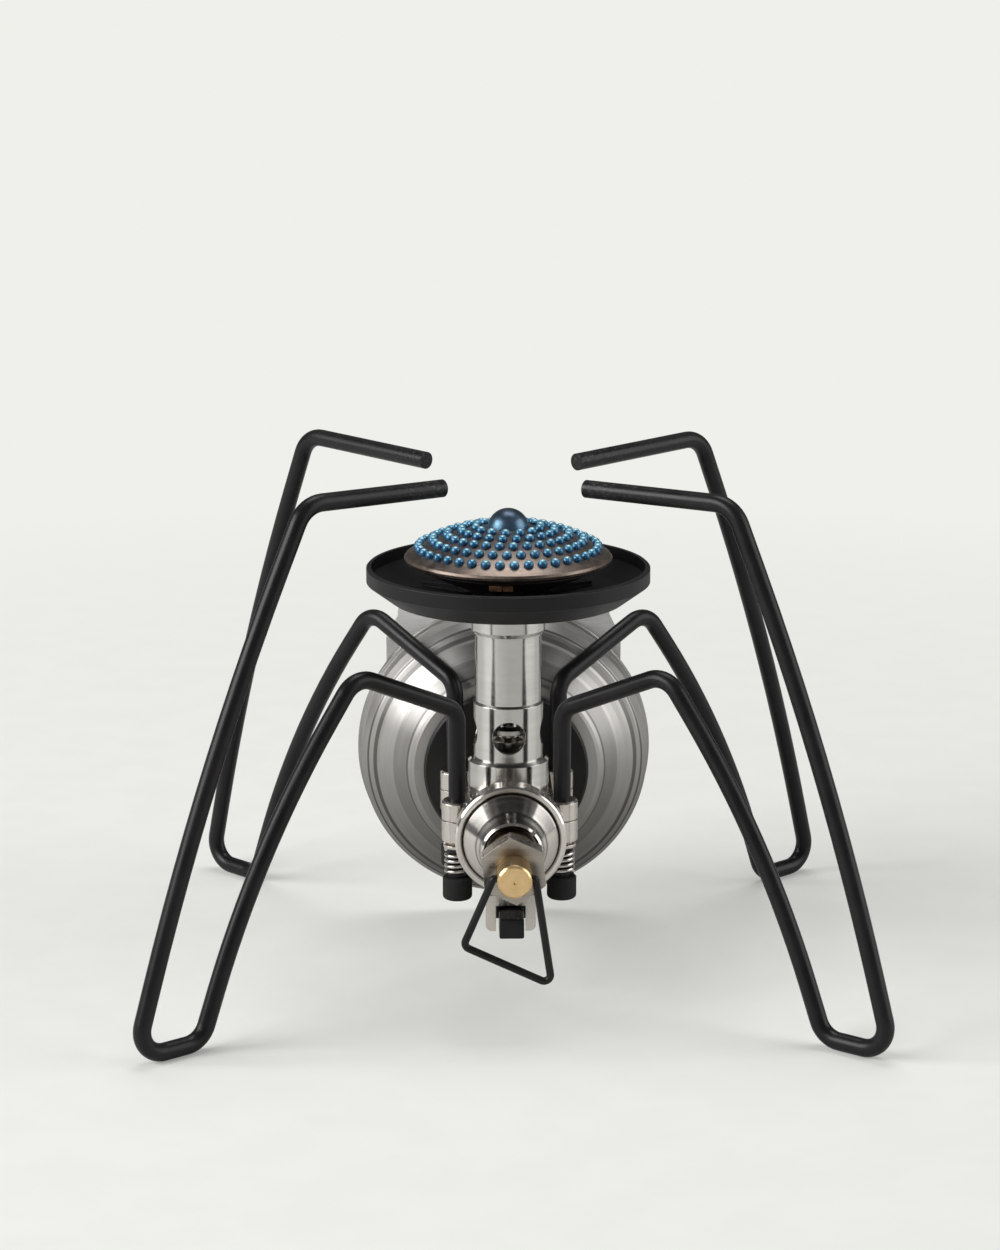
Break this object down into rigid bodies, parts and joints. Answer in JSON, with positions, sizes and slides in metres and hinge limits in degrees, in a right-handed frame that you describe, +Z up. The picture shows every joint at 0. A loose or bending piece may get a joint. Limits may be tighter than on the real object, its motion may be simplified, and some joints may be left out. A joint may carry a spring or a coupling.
{
  "type": "camping stove",
  "caption": "Single-burner gas camping stove on folding bent-wire legs, with a domed burner over a drip pan, a regulator valve in front and a cup for a gas can behind.",
  "frame": {"origin": "on the ground, under the axis of the burner column", "axes": "+X to the right seen from the valve side, +Y from the valve to the gas can, +Z up"},
  "size_m": [0.1642, 0.1429, 0.1197],
  "materials": {
    "black_wire": "satin black heat-resistant coating on steel wire",
    "nickel_plate": "bright nickel plate, lightly brushed",
    "brushed_steel": "spun and brushed stainless steel",
    "turned_aluminium": "fine turned satin",
    "spring_steel": "bright spring wire",
    "black_rubber": "matte black",
    "black_pan": "matte black enamel",
    "heated_steel": "stainless steel with brown heat tint",
    "port_steel": "steel with blue heat tint",
    "knob_steel": "dark blue heat tint",
    "dark_steel": "blackened steel",
    "copper_tint": "copper coloured",
    "brass": "turned brass",
    "black_plastic": "gloss black moulding",
    "seat_plastic": "matte black moulding",
    "ceramic": "glazed white ceramic"
  },
  "bodies": {
    "stove_frame": {"valve_body": "nickel_plate", "leg_bracket": "nickel_plate", "bracket_screws": "spring_steel", "base_collar": "turned_aluminium", "air_sleeve": "turned_aluminium", "mixing_tube": "turned_aluminium", "tube_collar": "turned_aluminium", "gas_jet": "brass", "drip_pan": "black_pan", "burner_head": "heated_steel", "flame_ports": "port_steel", "burner_knob": "knob_steel", "burner_cup": "dark_steel", "burner_core": "copper_tint", "electrode": "spring_steel", "electrode_insulator": "ceramic", "regulator_ring": "nickel_plate", "regulator_cap": "brushed_steel", "diaphragm": "black_rubber", "diaphragm_plate": "turned_aluminium", "regulator_spring": "spring_steel", "spring_follower": "brass", "gland": "brass", "gland_nut": "nickel_plate", "stem_seal": "black_rubber", "can_cup": "brushed_steel", "can_seat": "seat_plastic", "can_key": "seat_plastic", "seat_screws": "spring_steel", "inlet_nipple": "brass", "inlet_seal": "black_rubber", "heat_shield": "brushed_steel", "rivets": "spring_steel", "fork_bracket": "nickel_plate", "igniter_body": "black_plastic", "piezo_element": "ceramic"},
    "valve_stem": {"valve_stem": "brass"},
    "control_handle": {"control_handle": "black_wire"},
    "igniter_button": {"igniter_button": "black_plastic", "igniter_spring": "spring_steel"},
    "leg_front_left": {"leg_front_left": "black_wire", "detent_collar_front_left": "nickel_plate", "spring_washer_front_left": "nickel_plate", "leg_spring_front_left": "spring_steel", "leg_cap_front_left": "black_rubber"},
    "leg_front_right": {"leg_front_right": "black_wire", "detent_collar_front_right": "nickel_plate", "spring_washer_front_right": "nickel_plate", "leg_spring_front_right": "spring_steel", "leg_cap_front_right": "black_rubber"},
    "leg_rear_left": {"leg_rear_left": "black_wire", "detent_collar_rear_left": "nickel_plate", "spring_washer_rear_left": "nickel_plate", "leg_spring_rear_left": "spring_steel", "leg_cap_rear_left": "black_rubber"},
    "leg_rear_right": {"leg_rear_right": "black_wire", "detent_collar_rear_right": "nickel_plate", "spring_washer_rear_right": "nickel_plate", "leg_spring_rear_right": "spring_steel", "leg_cap_rear_right": "black_rubber"}
  },
  "joints": [
    {"name": "swing_leg_front_left", "type": "hinge", "parent": "stove_frame", "child": "leg_front_left", "pos_m": [-0.012, -0.0124, 0.041], "axis": [0, 0, 1], "range_deg": [0, 40]},
    {"name": "swing_leg_front_right", "type": "hinge", "parent": "stove_frame", "child": "leg_front_right", "pos_m": [0.012, -0.0124, 0.041], "axis": [0, 0, -1], "range_deg": [0, 40]},
    {"name": "swing_leg_rear_left", "type": "hinge", "parent": "stove_frame", "child": "leg_rear_left", "pos_m": [-0.0122, 0.0124, 0.041], "axis": [0, 0, 1], "range_deg": [0, 70]},
    {"name": "swing_leg_rear_right", "type": "hinge", "parent": "stove_frame", "child": "leg_rear_right", "pos_m": [0.0122, 0.0124, 0.041], "axis": [0, 0, -1], "range_deg": [0, 70]},
    {"name": "turn_valve", "type": "hinge", "parent": "stove_frame", "child": "valve_stem", "pos_m": [0, -0.04, 0.037], "axis": [0, 1, 0], "range_deg": [-180, 360]},
    {"name": "swing_handle", "type": "hinge", "parent": "valve_stem", "child": "control_handle", "pos_m": [0, -0.0495, 0.037], "axis": [-1, 0, 0], "range_deg": [-20, 200]},
    {"name": "press_igniter", "type": "slide", "parent": "stove_frame", "child": "igniter_button", "axis": [0, 1, 0], "range_m": [0, 0.004], "stiffness_N_per_m": 1500, "springref_m": -0.0012}
  ]
}
